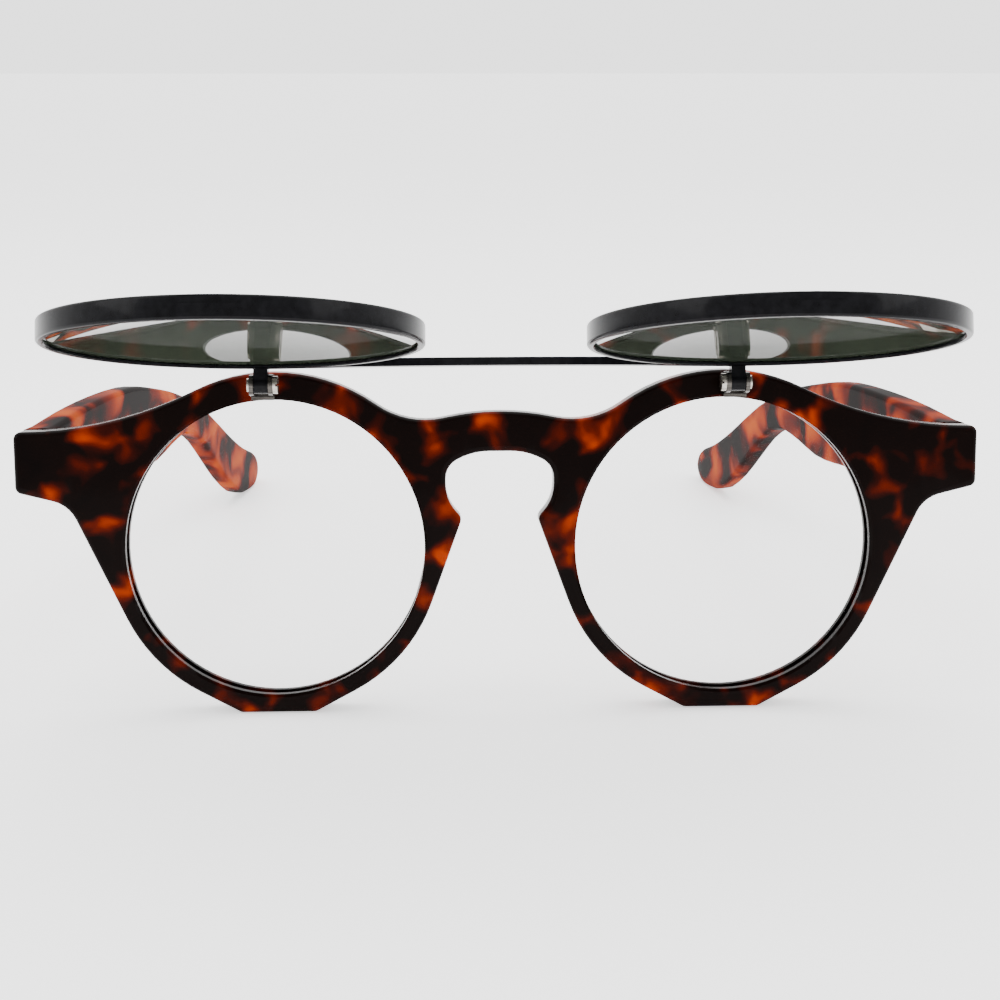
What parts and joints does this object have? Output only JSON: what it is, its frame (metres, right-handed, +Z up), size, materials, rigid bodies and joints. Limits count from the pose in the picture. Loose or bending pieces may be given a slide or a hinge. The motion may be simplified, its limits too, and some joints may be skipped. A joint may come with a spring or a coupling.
{
  "type": "flip up sunglasses",
  "caption": "Round keyhole-bridge sunglasses in tortoiseshell plastic with clear lenses and tinted lenses that flip up on hinges above the rims.",
  "frame": {"origin": "middle of the bounding box, at the height of the surface the glasses stand on", "axes": "+X to the wearer's left, +Y back along the temples, +Z up"},
  "size_m": [0.145, 0.1955, 0.0702],
  "materials": {
    "front_plastic": "polished dark tortoiseshell, nearly black with red-brown and amber patches",
    "temple_plastic": "polished tortoiseshell, amber with dark brown spots",
    "clear_lens": "clear polished plastic",
    "tinted_lens": "grey-green tinted polished plastic",
    "black_metal": "gloss black coated metal",
    "hinge_steel": "plain hinge metal",
    "dark_steel": "dark plated hinge metal"
  },
  "bodies": {
    "front": {"frame_front": "front_plastic", "left_clear_lens": "clear_lens", "right_clear_lens": "clear_lens", "left_front_leaf": "hinge_steel", "right_front_leaf": "hinge_steel", "left_hinge_screw": "hinge_steel", "right_hinge_screw": "hinge_steel", "left_flip_bracket": "dark_steel", "right_flip_bracket": "dark_steel", "left_flip_screw": "dark_steel", "right_flip_screw": "dark_steel"},
    "flip_up": {"left_flip_arm": "black_metal", "right_flip_arm": "black_metal", "left_lens_ring": "black_metal", "right_lens_ring": "black_metal", "left_tinted_lens": "tinted_lens", "right_tinted_lens": "tinted_lens", "bridge_bar": "black_metal"},
    "left_temple_arm": {"left_temple": "temple_plastic", "left_temple_leaf": "hinge_steel"},
    "right_temple_arm": {"right_temple": "temple_plastic", "right_temple_leaf": "hinge_steel"}
  },
  "joints": [
    {"name": "lens_flip", "type": "hinge", "parent": "front", "child": "flip_up", "pos_m": [0, -0.05017, 0.05062], "axis": [1, 0, 0], "range_deg": [0, 107.2]},
    {"name": "left_temple_fold", "type": "hinge", "parent": "front", "child": "left_temple_arm", "pos_m": [0.0663, -0.03949, 0.03756], "axis": [0, 0.123, 0.9924], "range_deg": [0, 85]},
    {"name": "right_temple_fold", "type": "hinge", "parent": "front", "child": "right_temple_arm", "pos_m": [-0.0663, -0.03949, 0.03756], "axis": [0, -0.123, -0.9924], "range_deg": [0, 80]}
  ]
}
